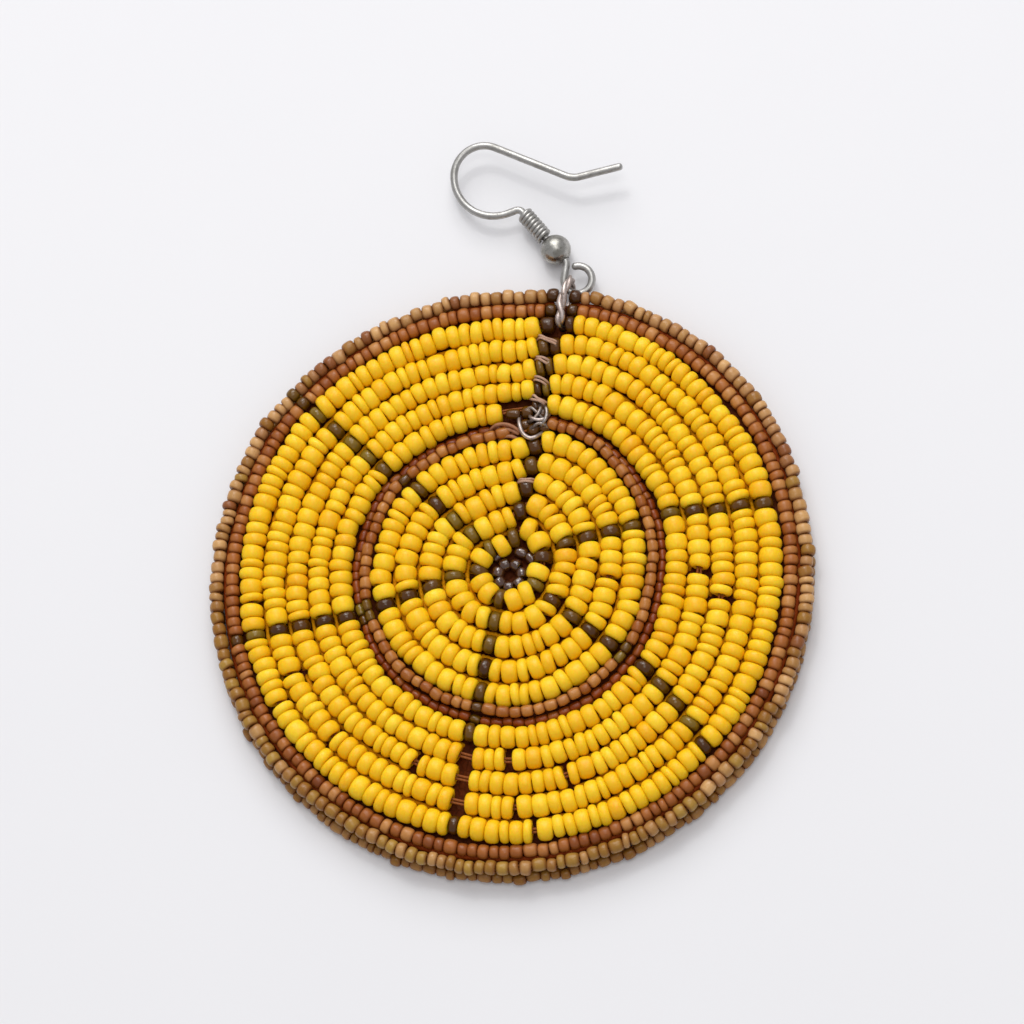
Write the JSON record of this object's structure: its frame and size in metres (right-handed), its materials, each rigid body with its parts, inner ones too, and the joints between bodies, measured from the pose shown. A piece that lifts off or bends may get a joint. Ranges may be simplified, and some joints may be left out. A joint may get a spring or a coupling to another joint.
{
  "type": "beaded disc earring",
  "caption": "Flat round drop earring of concentric rows of small opaque beads on a leather disc, with a coil-and-ball ear wire, lying flat.",
  "frame": {"origin": "centre of the disc on the underside of the leather backing", "axes": "+Z out of the beaded face, +Y from the disc's centre towards the hanger and the ear wire, +X to the right as seen on the beaded face"},
  "size_m": [0.0601, 0.0738, 0.0039],
  "materials": {
    "leather": "dark red-brown, matte",
    "yellow_beads": "opaque yellow glass, satin",
    "brown_beads": "opaque brown glass, satin",
    "red_brown_beads": "opaque red-brown glass, satin",
    "gold_brown_beads": "gold-brown glass, glossy",
    "dark_beads": "near-black brown glass, glossy",
    "hanger_wire": "dull twisted wire",
    "ear_wire_metal": "polished with dark recesses"
  },
  "bodies": {
    "root": {"backing": "leather", "centre_beads": "dark_beads", "yellow_row_1": "yellow_beads", "yellow_row_2": "yellow_beads", "yellow_row_3": "yellow_beads", "yellow_row_4": "yellow_beads", "yellow_row_5": "yellow_beads", "yellow_row_6": "yellow_beads", "yellow_row_7": "yellow_beads", "yellow_row_8": "yellow_beads", "yellow_row_9": "yellow_beads", "yellow_row_10": "yellow_beads", "brown_row_1": "brown_beads", "brown_row_2": "brown_beads", "red_brown_row": "red_brown_beads", "gold_brown_row": "gold_brown_beads", "edging_row": "gold_brown_beads", "hanger_loop": "hanger_wire", "ear_wire": "ear_wire_metal", "hook_coil": "ear_wire_metal", "hook_ball": "ear_wire_metal"}
  },
  "joints": []
}
